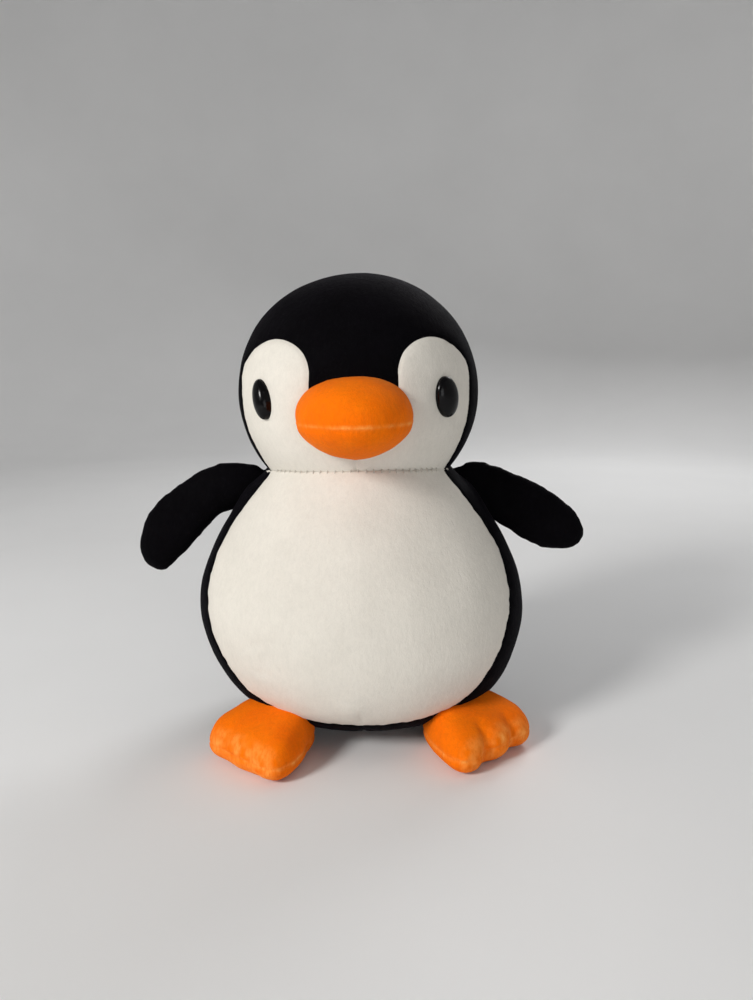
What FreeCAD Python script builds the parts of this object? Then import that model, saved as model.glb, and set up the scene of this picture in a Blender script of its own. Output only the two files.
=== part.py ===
"""Plush penguin: velvet panels over fibre stuffing, with a sewn-on head, wings, feet, beak and safety eyes.

Frame: millimetres, +Z up, the toy faces -Y, and its left side is +X.
The origin is on the body's axis at the height of the flat base that it stands on.
"""
import FreeCAD
import Part
import math
import os

Vector = FreeCAD.Vector

# Fabric and clearances
SKIN = 1.6            # velvet with its backing and pile
FILL_GAP = 0.15       # between a skin and the stuffing behind it
MOVING_GAP = 0.4      # between pieces that move on each other
BIG = 400.0           # longer than the whole toy

# Head: a ball that rests in the hollow top of the torso
HEAD_Z = 190.0
HEAD_R = 66.0
HEAD_OPENING = 36.0   # half angle of the opening under the head, degrees
PLUG_ANGLE = 23.0     # half angle of the stuffing plug in that opening, degrees
PLUG_INNER_R = 58.0
CORONAL_Y = 4.0       # seam over the crown from side to side
# Half of the white face in front view, from the beak round the cheek: x, z from the head's centre
FACE_CHIN_Z = -16.0
FACE_INNER = (22.0, -8.0)
FACE_LOBE = [(21.5, 13.0), (24.0, 20.7), (29.8, 26.3), (38.9, 28.9), (49.2, 25.6),
             (56.7, 18.2), (59.3, 0.0), (57.3, -17.0), (48.6, -37.9), (36.0, -58.0)]

# Beak: a flattened egg, sewn to the face, with a seam round its middle
BEAK_CENTRE = (0.0, -62.0, 180.0)
BEAK_HALF = (29.7, 33.4, 19.8)
BEAK_SEAM_Z = 177.4

# Safety eyes: an oval dome on a ribbed stem, locked by a washer behind the fabric
EYE_AZIMUTH = 43.8
EYE_ELEVATION = -1.5
EYE_HALF = (7.6, 10.6)
EYE_DOME = 4.6
EYE_LEAN = {"left": 9.5, "right": 11.0}
STEM_R = 2.4
STEM_LENGTH = 15.0
RIB_R = 2.9
RIB_PITCH = 2.4
RIB_COUNT = 4
WASHER_R = 9.0
WASHER_THICKNESS = 1.8
WASHER_COLLAR_R = 4.9
WASHER_COLLAR = 1.2    # how far the collar stands off the disc

# Torso sections: z, half width, half depth, shift forward
TORSO = [(0.0, 40.0, 33.0, -6.0), (5.0, 52.0, 43.0, -4.0), (15.0, 67.0, 57.0, 0.0), (28.0, 78.4, 67.0, 3.6),
         (45.0, 86.4, 73.0, 5.0), (66.0, 91.2, 74.5, 5.0), (85.0, 89.6, 73.5, 5.0), (103.0, 83.2, 71.0, 3.5),
         (120.0, 74.2, 67.0, 2.2), (138.0, 63.6, 61.0, 1.0), (151.3, 55.4, 55.4, 0.0)]
CUP_R = HEAD_R + MOVING_GAP
# Half of the belly panel in front view, from the neck down to the middle: x, z
BELLY = [(45.2, 154.0), (55.6, 139.0), (64.0, 128.0), (78.2, 103.0), (81.8, 74.0),
         (71.9, 48.0), (60.8, 34.4), (43.6, 25.4), (22.0, 20.5)]
BELLY_BOTTOM_Z = 19.0
NECK_THREAD_R = 55.2
NECK_THREAD_Z = 152.0
THREAD_R = 0.5
CLOSING_Z = (44.0, 92.0)
CLOSING_STITCHES = 13
CLOSING_STITCH = 3.4

# Wings: sewn into the side seam from the neck down, each with a rolled seam allowance at its root
SEAM_TOP = (55.4, 151.3)
SEAM_LOW = (76.0, 118.0)
ROLL_R = 2.0
ROLL_OFFSET = 2.9     # from the line of the side seam to the middle of the roll
ROLL_SPAN = (3.0, 36.0)
WING_PIVOT = (79.0, 130.0)   # where the wing bends up and down: x, z
WING_ROOT_GAP = 6.2   # from the seam line to the wing's own skin
WING_SIDE_GAP = 2.0   # from the torso's side to the wing's lower edge
WING_DROOP = {"left": 25.0, "right": 38.0}
WING_DROOP_RANGE = (0.0, 43.0)
WING_DROOP_STEPS = 5
WING_SKIN = 1.4
# Wing sections from the pivot towards the tip: distance, half width, half thickness
WING = [(-17.0, 13.5, 3.0), (-8.0, 16.5, 4.6), (5.0, 17.6, 7.0), (20.0, 17.8, 7.8),
        (36.0, 16.4, 7.2), (48.0, 12.8, 5.8), (56.0, 8.2, 3.8), (60.0, 3.6, 2.2)]

# Feet: flat three-toed pillows, hinged on the seam at the edge of the base
FOOT_YAW = {"left": 43.0, "right": 37.0}     # toes outwards from straight ahead
FOOT_ASIDE = {"left": 10.5, "right": 2.5}    # middle of the foot, sideways from the origin
FOOT_HINGE = {"left": 54.0, "right": 53.0}   # hinge line, forwards from the origin
FOOT_LENGTH = 45.0    # hinge to the tip of the toes
FOOT_WIDTH = 59.0
FOOT_FLOOR = 0.3
FOOT_HINGE_Z = 5.3
FOOT_KNUCKLE = 2.4    # radius of the heel round the hinge
FOOT_HEEL_SLOPE = 0.6 # how far the sole starts in front of the hinge
FOOT_TOP = (21.0, 30.0)   # highest point: forwards from the hinge, height
TOE_HEIGHT = 15.0
TOE_BULGE = 7.5
FOOT_SEAM_Z = 9.0

SIDES = {"left": 1.0, "right": -1.0}


def save(shape, node):
    shape.exportStep(f"parts/{node}.step")
    print(node, round(shape.Volume), shape.isValid(), len(shape.Solids))


def wire_prism(edges, direction):
    """A closed planar outline, swept along direction into a solid."""
    return Part.Face(Part.Wire(edges)).extrude(direction)


def spline(points):
    curve = Part.BSplineCurve()
    curve.interpolate(points)
    return curve.toShape()


def polyline(points):
    return [Part.makeLine(a, b) for a, b in zip(points, points[1:])]


def half_space(point, direction):
    """A block on the side of point that direction looks to."""
    block = Part.makeBox(2 * BIG, 2 * BIG, 2 * BIG, Vector(-BIG, -BIG, 0))
    turn = FreeCAD.Rotation(Vector(0, 0, 1), Vector(*direction))
    block.Placement = FreeCAD.Placement(Vector(*point), turn)
    return block


def head_ball(radius):
    return Part.makeSphere(radius, Vector(0, 0, HEAD_Z))


def cone_below_head(half_angle):
    """Everything within half_angle of straight down from the head's centre."""
    height = HEAD_R * 1.5
    foot = Vector(0, 0, HEAD_Z - height)
    return Part.makeCone(height * math.tan(math.radians(half_angle)), 0, height, foot)


# ---------------------------------------------------------------- head

def face_cutter(side):
    """The white cheek's outline in front view, swept back through the front of the head."""
    def at(x, z):
        return Vector(side * x, 0, HEAD_Z + z)

    lobe = [at(*FACE_INNER)] + [at(x, z) for x, z in FACE_LOBE]
    corners = [lobe[-1], at(0, FACE_LOBE[-1][1]), at(0, FACE_CHIN_Z), lobe[0]]
    return wire_prism([spline(lobe)] + polyline(corners), Vector(0, -BIG, 0))


def beak_egg(inset):
    """The beak's egg shape, made smaller by inset all round."""
    egg = Part.makeSphere(1.0)
    stretch = FreeCAD.Matrix()
    stretch.scale(*(half - inset for half in BEAK_HALF))
    stretch.move(Vector(*BEAK_CENTRE))
    return egg.transformGeometry(stretch)


def beak_parts():
    above = half_space((0, 0, BEAK_SEAM_Z), (0, 0, 1))
    skin = beak_egg(0).cut(beak_egg(SKIN)).cut(head_ball(HEAD_R))
    fill = beak_egg(SKIN + FILL_GAP).cut(head_ball(HEAD_R + FILL_GAP))
    return skin.common(above), skin.cut(above), fill


def eye_placement(name, radius):
    """Puts a shape made along +Z, with +Y as its long way, on the head at that radius, looking outwards."""
    side = SIDES[name]
    azimuth = math.radians(side * EYE_AZIMUTH)
    elevation = math.radians(EYE_ELEVATION)
    out = Vector(math.sin(azimuth) * math.cos(elevation), -math.cos(azimuth) * math.cos(elevation),
                 math.sin(elevation))
    across = Vector(0, 0, 1).cross(out).normalize()
    turn = FreeCAD.Rotation(across, out.cross(across), out, "ZXY")
    lean = FreeCAD.Rotation(Vector(0, 0, 1), EYE_LEAN[name])
    return FreeCAD.Placement(Vector(0, 0, HEAD_Z) + out * radius, turn.multiply(lean))


def eye_stem(grow):
    """The ribbed stem, behind the dome, grown by a clearance."""
    stem = Part.makeCylinder(STEM_R + grow, STEM_LENGTH, Vector(0, 0, -STEM_LENGTH))
    for i in range(RIB_COUNT):
        top = -4.0 - i * RIB_PITCH
        stem = stem.fuse(Part.makeCone(STEM_R - 0.3 + grow, RIB_R + grow, 1.4, Vector(0, 0, top - 1.4)))
    return stem.removeSplitter()


def eye_dome():
    """The oval dome, flat at the back."""
    ball = Part.makeSphere(1.0, Vector(), Vector(0, 0, 1), 0, 90, 360)
    stretch = FreeCAD.Matrix()
    stretch.scale(EYE_HALF[0], EYE_HALF[1], EYE_DOME)
    return ball.transformGeometry(stretch)


def eye_washer():
    """A disc with a collar behind it, both reaching inwards from the seat."""
    inwards = Vector(0, 0, -1)
    disc = Part.makeCylinder(WASHER_R, WASHER_THICKNESS, Vector(), inwards)
    collar = Part.makeCylinder(WASHER_COLLAR_R, WASHER_THICKNESS + WASHER_COLLAR, Vector(), inwards)
    hole = Part.makeCylinder(RIB_R + 0.05, 3 * WASHER_THICKNESS, Vector(0, 0, WASHER_THICKNESS), inwards)
    return disc.fuse(collar).removeSplitter().cut(hole)


def placed(shape, placement):
    copy = shape.copy()
    copy.Placement = placement
    return copy


def eye_parts(name):
    """The eye, its washer, and the room that both take in the skin and in the stuffing."""
    seat = eye_placement(name, HEAD_R + 0.3)
    washer_seat = eye_placement(name, HEAD_R - SKIN - 0.7)
    eye = placed(eye_dome().fuse(eye_stem(0)).removeSplitter(), seat)
    washer = placed(eye_washer(), washer_seat)
    well = placed(Part.makeCylinder(WASHER_R + 0.2, STEM_LENGTH + 2.0, Vector(0, 0, -STEM_LENGTH - 2.0)),
                  eye_placement(name, HEAD_R))
    hole = placed(Part.makeCylinder(RIB_R + 0.1, 8.0, Vector(0, 0, -5.0)), eye_placement(name, HEAD_R))
    return eye, washer, hole, well


def head_parts():
    opening = cone_below_head(HEAD_OPENING)
    skin = head_ball(HEAD_R).cut(head_ball(HEAD_R - SKIN)).cut(opening)
    socket = opening.cut(head_ball(PLUG_INNER_R - MOVING_GAP))
    fill = head_ball(HEAD_R - SKIN - FILL_GAP).cut(socket)
    parts = {}
    rest = skin
    for name, side in SIDES.items():
        eye, washer, hole, well = eye_parts(name)
        cutter = face_cutter(side)
        parts[f"eye_{name}"] = eye
        parts[f"eye_washer_{name}"] = washer
        parts[f"face_{name}"] = skin.common(cutter).cut(hole).cut(eye)
        rest = rest.cut(cutter)
        fill = fill.cut(well)
    front = half_space((0, CORONAL_Y, 0), (0, -1, 0))
    left = half_space((0, 0, 0), (1, 0, 0))
    parts["head_crown"] = rest.common(front)
    back = rest.cut(front)
    parts["head_back_left"] = back.common(left)
    parts["head_back_right"] = back.cut(left)
    parts["head_fill"] = fill
    parts["beak_upper"], parts["beak_lower"], parts["beak_fill"] = beak_parts()
    shell = head_ball(HEAD_R).cut(head_ball(PLUG_INNER_R))
    parts["neck_plug"] = cone_below_head(PLUG_ANGLE).common(shell)
    return parts


# ---------------------------------------------------------------- torso

def oval(z, half_width, half_depth, forward):
    """A level ellipse, as a wire."""
    centre = Vector(0, -forward, z)
    curve = Part.Ellipse(centre + Vector(half_width, 0, 0), centre + Vector(0, half_depth, 0), centre)
    if half_width - half_depth < 1e-6:
        curve = Part.Circle(centre, Vector(0, 0, 1), half_width)
    return Part.Wire(curve.toShape())


def torso_body(inset):
    """The torso's outer shape, made smaller by inset all round, its top still open to the cup."""
    rings = []
    for z, half_width, half_depth, forward in TORSO:
        height = max(z, inset)
        rings.append(oval(height, half_width - inset, half_depth - inset, forward))
    return Part.makeLoft(rings, True, False)


def belly_cutter():
    half = [Vector(x, 0, z) for x, z in BELLY]
    mirrored = [Vector(-p.x, 0, p.z) for p in reversed(half)]
    outline = half + [Vector(0, 0, BELLY_BOTTOM_Z)] + mirrored
    return wire_prism([spline(outline), Part.makeLine(outline[-1], outline[0])], Vector(0, -BIG, 0))


def closing_thread(body):
    """Short ladder stitches across the seam at the middle of the back, where the stuffing went in."""
    low, high = CLOSING_Z
    stitches = []
    for i in range(CLOSING_STITCHES):
        z = low + (high - low) * i / (CLOSING_STITCHES - 1)
        surface = body.slice(Vector(0, 0, 1), z)[0].BoundBox.YMax
        start = Vector(-CLOSING_STITCH / 2, surface + THREAD_R + 0.1, z)
        stitches.append(Part.makeCylinder(THREAD_R, CLOSING_STITCH, start, Vector(1, 0, 0)))
    return Part.makeCompound(stitches)


def torso_parts():
    body = torso_body(0)
    cup = head_ball(CUP_R)
    skin = body.cut(torso_body(SKIN)).cut(cup)
    belly = belly_cutter()
    left = half_space((0, 0, 0), (1, 0, 0))
    black = skin.cut(belly)
    return {
        "belly_panel": skin.common(belly),
        "back_left": black.common(left),
        "back_right": black.cut(left),
        "body_fill": torso_body(SKIN + FILL_GAP).cut(head_ball(CUP_R + FILL_GAP)),
        "neck_thread": Part.makeTorus(NECK_THREAD_R, THREAD_R, Vector(0, 0, NECK_THREAD_Z)),
        "closing_thread": closing_thread(body),
    }


# ---------------------------------------------------------------- wings

def seam_point(along, out):
    """A point by the left side seam: along it from the neck, and out from it. Gives x, z."""
    dx = SEAM_LOW[0] - SEAM_TOP[0]
    dz = SEAM_LOW[1] - SEAM_TOP[1]
    length = math.hypot(dx, dz)
    ux, uz = dx / length, dz / length
    return SEAM_TOP[0] + along * ux - out * uz, SEAM_TOP[1] + along * uz + out * ux


def wing_pillow(inset):
    """The wing along +X from its pivot, level, made smaller by inset all round."""
    rings = []
    last = len(WING) - 1
    for i, (distance, half_width, half_thickness) in enumerate(WING):
        centre = Vector(distance - (inset if i == last else 0), 0, 0)
        wide = centre + Vector(0, 0, half_width - inset)
        thick = centre + Vector(0, half_thickness - inset, 0)
        rings.append(Part.Wire(Part.Ellipse(wide, thick, centre).toShape()))
    return Part.makeLoft(rings, True, False)


def side_outline():
    """The left side that the wing stays clear of, in front view: along the seam, then down the torso."""
    low = 38.0
    points = [(SEAM_TOP[0] - 20.0, SEAM_TOP[1] + 20.0), seam_point(-6.0, WING_ROOT_GAP),
              seam_point(low, WING_ROOT_GAP)]
    for z, half_width, _, _ in reversed(TORSO):
        if 40.0 < z < 110.0:
            points.append((half_width + WING_SIDE_GAP, z))
    points.append((SEAM_TOP[0] - 20.0, points[-1][1]))
    points.append(points[0])
    return [Vector(x, 0, z) for x, z in points]


def root_clearance():
    """What the wing must stay out of at each droop that it can take, in the wing's own level frame."""
    side = wire_prism(polyline(side_outline()), Vector(0, 2 * BIG, 0))
    side.translate(Vector(-WING_PIVOT[0], -BIG, -WING_PIVOT[1]))
    low, high = WING_DROOP_RANGE
    blocks = []
    for step in range(WING_DROOP_STEPS):
        block = side.copy()
        block.rotate(Vector(), Vector(0, 1, 0), -(low + (high - low) * step / (WING_DROOP_STEPS - 1)))
        blocks.append(block)
    return blocks


def wing_parts(name):
    front = half_space((0, 0, 0), (0, -1, 0))
    outer = wing_pillow(0)
    fill = wing_pillow(WING_SKIN + FILL_GAP)
    inner = wing_pillow(WING_SKIN)
    for block in root_clearance():
        outer = outer.cut(block)
        fill = fill.cut(block)
    skin = outer.cut(inner)
    roll_start = seam_point(ROLL_SPAN[0], ROLL_OFFSET)
    roll_end = seam_point(ROLL_SPAN[1], ROLL_OFFSET)
    start = Vector(roll_start[0], 0, roll_start[1])
    along = Vector(roll_end[0], 0, roll_end[1]) - start
    parts = {
        f"wing_front_{name}": skin.common(front),
        f"wing_back_{name}": skin.cut(front),
        f"wing_fill_{name}": fill,
    }
    for node, shape in parts.items():
        turned = shape.copy()
        turned.rotate(Vector(), Vector(0, 1, 0), WING_DROOP[name])
        turned.translate(Vector(WING_PIVOT[0], 0, WING_PIVOT[1]))
        parts[node] = turned
    parts[f"wing_root_{name}"] = Part.makeCylinder(ROLL_R, along.Length, start, along)
    if SIDES[name] < 0:
        parts = {node: shape.mirror(Vector(), Vector(1, 0, 0)) for node, shape in parts.items()}
    return parts


# ---------------------------------------------------------------- feet

def foot_plan(inset):
    """The sole's outline from above: +X forwards from the hinge, with three toes. A closed wire."""
    half = FOOT_WIDTH / 2 - inset
    back = -FOOT_KNUCKLE - 20.0
    toe_line = FOOT_LENGTH - TOE_BULGE - inset
    corners = [toe_line, toe_line + 1.5, toe_line + 1.5, toe_line]
    stops = [Vector(x, -half + 2 * half * i / 3, 0) for i, x in enumerate(corners)]
    edges = []
    for a, b in zip(stops, stops[1:]):
        middle = (a + b) * 0.5 + Vector(TOE_BULGE - 1.0, 0, 0)
        edges.append(Part.Arc(a, middle, b).toShape())
    rear = [stops[-1], Vector(back, half, 0), Vector(back, -half, 0), stops[0]]
    return edges + polyline(rear)


def foot_profile(inset):
    """The foot from the side: flat sole, round nose, top rising to the belly. Edges in the XZ plane."""
    low = FOOT_FLOOR + inset
    nose = FOOT_LENGTH - inset
    knuckle = FOOT_KNUCKLE - inset
    hinge_z = FOOT_HINGE_Z
    top_x, top_z = FOOT_TOP[0], FOOT_TOP[1] - inset
    heel = Part.Arc(Vector(-knuckle, 0, hinge_z),
                    Vector(-knuckle * math.sqrt(0.5), 0, hinge_z - knuckle * math.sqrt(0.5)),
                    Vector(0, 0, hinge_z - knuckle)).toShape()
    heel_low = Vector(FOOT_HEEL_SLOPE + inset, 0, low)
    sole = polyline([Vector(0, 0, hinge_z - knuckle), heel_low, Vector(nose - 4.0, 0, low)])
    nose_curve = spline([Vector(nose - 4.0, 0, low), Vector(nose, 0, low + 6.0),
                         Vector(nose - 2.0, 0, TOE_HEIGHT), Vector(top_x, 0, top_z)])
    rest = [Vector(top_x, 0, top_z), Vector(-knuckle, 0, top_z), Vector(-knuckle, 0, hinge_z)]
    return [heel] + sole + [nose_curve] + polyline(rest)


def foot_block(inset):
    plan = wire_prism(foot_plan(inset), Vector(0, 0, BIG))
    profile = wire_prism(foot_profile(inset), Vector(0, BIG, 0))
    profile.translate(Vector(0, -BIG / 2, 0))
    return plan.common(profile)


def foot_placement(name):
    side = SIDES[name]
    yaw = math.radians(FOOT_YAW[name])
    forward = Vector(side * math.sin(yaw), -math.cos(yaw), 0)
    aside = Vector(side * math.cos(yaw), math.sin(yaw), 0)
    turn = FreeCAD.Rotation(Vector(1, 0, 0), forward)
    return FreeCAD.Placement(forward * FOOT_HINGE[name] + aside * FOOT_ASIDE[name], turn)


def foot_parts(name, keep_off):
    outer = foot_block(0)
    skin = outer.cut(foot_block(SKIN))
    below = half_space((0, 0, FOOT_SEAM_Z), (0, 0, -1))
    local = {
        f"foot_sole_{name}": skin.common(below),
        f"foot_top_{name}": skin.cut(below),
        f"foot_fill_{name}": foot_block(SKIN + FILL_GAP),
    }
    place = foot_placement(name)
    return {node: placed(shape, place).cut(keep_off) for node, shape in local.items()}


def main():
    os.makedirs("parts", exist_ok=True)
    parts = {}
    parts.update(head_parts())
    parts.update(torso_parts())
    keep_off = torso_body(-MOVING_GAP)
    for name in SIDES:
        parts.update(wing_parts(name))
        parts.update(foot_parts(name, keep_off))
    for node, shape in parts.items():
        save(shape, node)


main()
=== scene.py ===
"""Looks of a plush penguin: velvet panels cut from smooth shapes along their seams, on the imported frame."""

import math

import bmesh
import bpy
import numpy as np
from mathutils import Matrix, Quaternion, Vector
from mathutils.kdtree import KDTree


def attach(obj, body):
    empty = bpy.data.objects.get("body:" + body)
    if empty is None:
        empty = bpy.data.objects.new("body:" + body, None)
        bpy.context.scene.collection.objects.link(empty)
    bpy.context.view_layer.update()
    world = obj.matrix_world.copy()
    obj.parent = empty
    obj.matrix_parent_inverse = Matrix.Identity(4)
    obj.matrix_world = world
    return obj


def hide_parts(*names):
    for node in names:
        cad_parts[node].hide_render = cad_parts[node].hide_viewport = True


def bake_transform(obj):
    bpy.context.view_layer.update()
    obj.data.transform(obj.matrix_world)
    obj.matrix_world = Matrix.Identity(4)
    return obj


MM = 0.001
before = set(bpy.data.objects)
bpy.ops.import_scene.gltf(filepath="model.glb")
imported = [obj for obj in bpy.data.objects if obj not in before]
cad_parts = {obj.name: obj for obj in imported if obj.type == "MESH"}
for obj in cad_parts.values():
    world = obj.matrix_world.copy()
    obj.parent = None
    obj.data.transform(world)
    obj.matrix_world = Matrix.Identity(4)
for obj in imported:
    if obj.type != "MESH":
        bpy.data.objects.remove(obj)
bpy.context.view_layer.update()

# ---- driving sizes, in millimetres

HEAD = np.array([0.0, 0.0, 190.0])
HEAD_R = 66.0
HEAD_OPENING = 34.0       # half angle of the hole under the head, degrees
PILE_SPACING = 1.35       # distance between mesh points on the body
SKIN = 1.1                # fabric and backing
SHARP_ANGLE = 55.0        # edges sharper than this stay crisp, degrees

# Torso rings: z, half width, half depth, shift forward, shift to the side. The last lies in the flat base.
TORSO = [(138.0, 63.6, 61.0, 1.0, -0.3), (120.0, 74.8, 67.4, 2.2, -0.6), (103.0, 84.0, 71.4, 3.5, -0.6),
         (85.0, 90.6, 74.2, 5.0, -0.6), (66.0, 92.2, 75.2, 5.0, -0.3), (45.0, 87.2, 73.6, 5.0, 0.8),
         (28.0, 78.8, 67.4, 3.6, 1.8), (15.0, 67.0, 57.2, 0.0, 2.2), (5.0, 52.0, 43.0, -4.0, 2.2),
         (0.6, 41.0, 34.0, -6.0, 2.0), (0.0, 26.0, 22.0, -6.0, 1.6)]
MEAN_GIRTH_R = 82.0       # these two and the pile spacing set how fine the torso's mesh is
COLUMN_LENGTH = 240.0
CUP_R = HEAD_R + 0.3
CUP_START = 36.0          # where the fabric in the cup begins, seen from the head's centre, degrees
CUP_SLACK = 1.6           # extra room under the head, away from the rim
RIM_FRONT_Z = 152.2       # neck seam at the front, and at the sides and back
RIM_BACK_Z = 147.6
OFF_PANEL = -50.0         # stands for a point that no outline may claim
# Half outlines in front view: the belly's from the floor, the face's from the head's centre
BELLY = [(44.0, 158.0), (47.5, 149.5), (55.6, 139.0), (64.0, 128.0), (72.0, 116.0), (78.2, 103.0), (81.8, 88.0),
         (81.8, 74.0), (78.3, 60.0), (71.9, 48.0), (60.8, 34.4), (43.6, 25.4), (22.0, 20.5), (0.0, 19.0)]
FACE = [(0.0, -14.0), (14.0, -12.0), (21.0, -4.0), (21.6, 6.0), (21.6, 13.7), (24.0, 20.7), (29.8, 26.3),
        (38.9, 28.9), (49.2, 25.6), (56.7, 18.2), (59.3, 0.0), (57.3, -17.0), (48.6, -37.9), (36.0, -58.0)]
FACE_STRETCH = {"left": 1.0, "right": 1.03}
CORONAL_Y = 4.0           # seam over the top of the head, from side to side
BELLY_FOLDS = [((-62.0, 62.0), (-38.0, 70.0)), ((-58.0, 52.0), (-40.0, 50.0)), ((-50.0, 44.0), (-44.0, 66.0))]
FOLD_DEPTH = 0.35
FOLD_WIDTH = 2.2
HEAD_TURN = 1.0           # degrees, to the toy's left
HEAD_WIDEN = 1.008
CROWN_FLATTEN = 2.2

NECK_STITCHES = 26
NECK_STITCH_SPAN = 0.9     # to each side of the middle, radians
THREAD_R = 0.28
CLOSING_Z = (44.0, 92.0)
CLOSING_STITCHES = 13
CLOSING_STITCH = 3.4
WAD_ANGLE = 21.5          # half angle of the wad seen from the head's centre, degrees
WAD_R = 62.0
WAD_HALF_THICK = 3.2

BEAK = np.array([0.0, -62.0, 177.6])
BEAK_HALF = (29.2, 33.4)
BEAK_UP = 22.0
BEAK_DOWN = 18.8
BEAK_DROOP = 0.7
BEAK_SQUARE = (0.86, 1.2)   # below 1 boxier, above 1 more pointed: upper half, lower half
BEAK_SINK = 2.2           # how far its cut edge lies inside the head

EYE_AZIMUTH = {"left": 44.3, "right": 46.0}
EYE_FACING = {"left": 44.5, "right": 62.0}
EYE_ELEVATION = -1.5
EYE_HALF = {"left": (7.4, 10.5), "right": (6.1, 10.5)}   # the right one drawn narrower
EYE_DOME = 4.6
EYE_ROOT = 3.5            # how far the rim reaches down into the pile
EYE_SINK = 1.0
EYE_DIMPLE = 1.6          # depth and reach of the hollow that the eye's stem pulls in the face
EYE_DIMPLE_R = 11.0
EYE_LEAN = {"left": 13.0, "right": 17.0}

# Wing ribs from the side seam to the tip, in front view: upper edge and lower edge
WING = {
    "left": ([(49.0, 146.5), (60.0, 150.4), (72.0, 150.0), (87.2, 144.8), (102.0, 138.0), (115.4, 129.3),
              (123.5, 121.4), (128.2, 114.0), (129.6, 109.0)],
             [(62.0, 120.0), (70.0, 117.0), (77.0, 113.2), (84.7, 108.4), (95.0, 101.9), (107.0, 97.6),
              (117.0, 97.0), (125.4, 99.6), (129.2, 105.2)]),
    "right": ([(49.0, 146.5), (60.0, 151.2), (74.0, 152.0), (91.0, 147.4), (106.0, 138.2), (119.5, 127.6),
               (127.0, 116.0), (130.4, 102.0), (129.0, 93.0)],
              [(62.0, 124.0), (71.0, 121.5), (78.5, 119.8), (87.0, 112.6), (95.6, 103.5), (104.0, 94.5),
               (111.8, 87.8), (119.0, 85.8), (126.4, 88.6)]),
}
WING_HALF_THICK = 8.4
WING_SEED = {"left": 61, "right": 71}

# Feet, forwards from the hinge and sideways from the middle of the foot: the seam's outline without its notches
FOOT_YAW = {"left": 43.0, "right": 37.0}
FOOT_ASIDE = {"left": 10.5, "right": 2.5}
FOOT_HINGE = {"left": 54.0, "right": 53.0}
FOOT_NOTCH = {"left": 2.6, "right": 0.4}
FOOT_CREASE = {"left": 5.5, "right": 1.8}    # depth between the toes, on top
FOOT_INNER = {"left": [(-4.0, 0.0), (-1.0, -14.0), (12.0, -23.0), (26.0, -28.5), (36.0, -30.5), (43.5, -27.0),
                       (46.0, -20.0)],
              "right": [(-4.0, 0.0), (-1.0, -12.0), (12.0, -20.0), (26.0, -25.5), (36.0, -27.5), (43.0, -25.0),
                        (45.5, -19.0)]}
FOOT_OUTER = [(45.0, 20.0), (41.5, 27.0), (34.0, 30.0), (24.0, 29.0), (12.0, 25.0), (-1.0, 15.0)]
FOOT_SEAM_Z = 9.5
FOOT_RIDGE = 28.5         # height where the foot meets the belly
FOOT_NOSE = 19.0          # height over the toes
FOOT_SLOPE = (14.0, 46.0) # where the top starts and stops sloping down, forwards from the hinge
FOOT_SEED = {"left": 91, "right": 101}
TOE_GAPS = (-10.0, 10.0)
TOE_GAP_WIDTH = 2.6
SOLE_Z = 1.4              # fabric below this height is pressed flat by the floor
SOLE_PRESS = 0.25

# Stuffing: size of the mesh before it is swollen, pressure, and the furthest that a point may move
BEAK_STUFFING = (3.0, 4.0, 1.5)
WING_STUFFING = (3.0, 3.0, 1.8)
FOOT_STUFFING = (2.4, 4.0, 1.6)
CLOTH_STEPS = 20
CLOTH_STIFFNESS = 25.0

STAGE_SIDES = 96          # stage, camera and lights are in metres
STAGE_FLAT = 1.4
STAGE_CURVE = 0.9
STAGE_TOP = 2.6
CAMERA_PLACE = (0.0213, -0.4401, 0.2056)
CAMERA_PITCH = 10.0       # looking down, then to the side, then tipped: degrees
CAMERA_TURN = 1.54
CAMERA_ROLL = 0.8
CAMERA_LENS = 28.0
SIDES = {"left": 1.0, "right": -1.0}


# ---- numbers and curves

def lattice_noise(points, cell, seed):
    """Smooth noise from -1 to 1 that varies over about one cell, in millimetres."""
    q = points / cell + seed * 17.31
    base = np.floor(q).astype(np.int64)
    part = q - base
    fade = part ** 3 * (part * (part * 6 - 15) + 10)
    total = np.zeros(len(points))
    for corner in range(8):
        step = np.array([(corner >> k) & 1 for k in range(3)])
        key = base + step
        mixed = (key[:, 0] * 73856093) ^ (key[:, 1] * 19349663) ^ (key[:, 2] * 83492791) ^ (seed * 9176)
        mixed = ((mixed ^ (mixed >> 13)) * 1274126177) & 0x7FFFFFFF
        value = ((mixed ^ (mixed >> 15)) % 65536) / 32767.5 - 1
        total += value * np.prod(np.where(step, fade, 1 - fade), axis=1)
    return total


def smooth_curve(points, spacing=None, count=None):
    """A smooth curve through points, sampled evenly along its length."""
    p = np.array(points, float)
    before = np.vstack([2 * p[0] - p[1], p[:-1]])
    after = np.vstack([p[1:], 2 * p[-1] - p[-2]])
    gap_before = np.linalg.norm(p - before, axis=1)[:, None]
    gap_after = np.linalg.norm(after - p, axis=1)[:, None]
    slope = (p - before) / gap_before * gap_after + (after - p) / gap_after * gap_before
    slope = slope / (gap_before + gap_after)
    t = np.linspace(0, 1, 40, endpoint=False)[:, None]
    dense = []
    for i in range(len(p) - 1):
        gap = gap_after[i]
        h00 = 2 * t ** 3 - 3 * t ** 2 + 1
        h10 = t ** 3 - 2 * t ** 2 + t
        h01 = 3 * t ** 2 - 2 * t ** 3
        h11 = t ** 3 - t ** 2
        dense.append(h00 * p[i] + h10 * gap * slope[i] + h01 * p[i + 1] + h11 * gap * slope[i + 1])
    dense = np.vstack(dense + [p[-1:]])
    length = np.concatenate([[0], np.cumsum(np.linalg.norm(np.diff(dense, axis=0), axis=1))])
    count = count or int(length[-1] / spacing) + 1
    at = np.linspace(0, length[-1], count)
    return np.stack([np.interp(at, length, dense[:, k]) for k in range(p.shape[1])], axis=1)


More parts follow.
